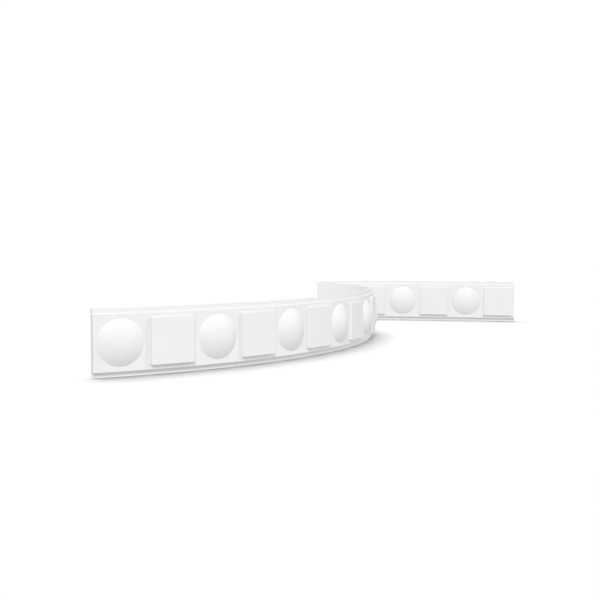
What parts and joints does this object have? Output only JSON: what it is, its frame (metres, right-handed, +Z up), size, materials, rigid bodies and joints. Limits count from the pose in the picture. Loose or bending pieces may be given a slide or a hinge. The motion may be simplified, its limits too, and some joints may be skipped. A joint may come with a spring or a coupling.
{
  "type": "flexible panel moulding",
  "caption": "Soft white moulding strip bent along an S-shaped wall, with plain raised squares and domed discs in turn on a flat panel between thin bands.",
  "frame": {"origin": "middle of the bounding box in plan, on the plane of the lower edge that the strip stands on", "axes": "+Z up across the strip's height; +X along the straight run to its cut end; +Y square out of the straight run's back, towards its wall"},
  "size_m": [0.5984, 1.202, 0.1],
  "materials": {
    "primed_white": "matte white factory primer on soft cast polyurethane"
  },
  "bodies": {
    "root": {"moulding": "primed_white"}
  },
  "joints": []
}
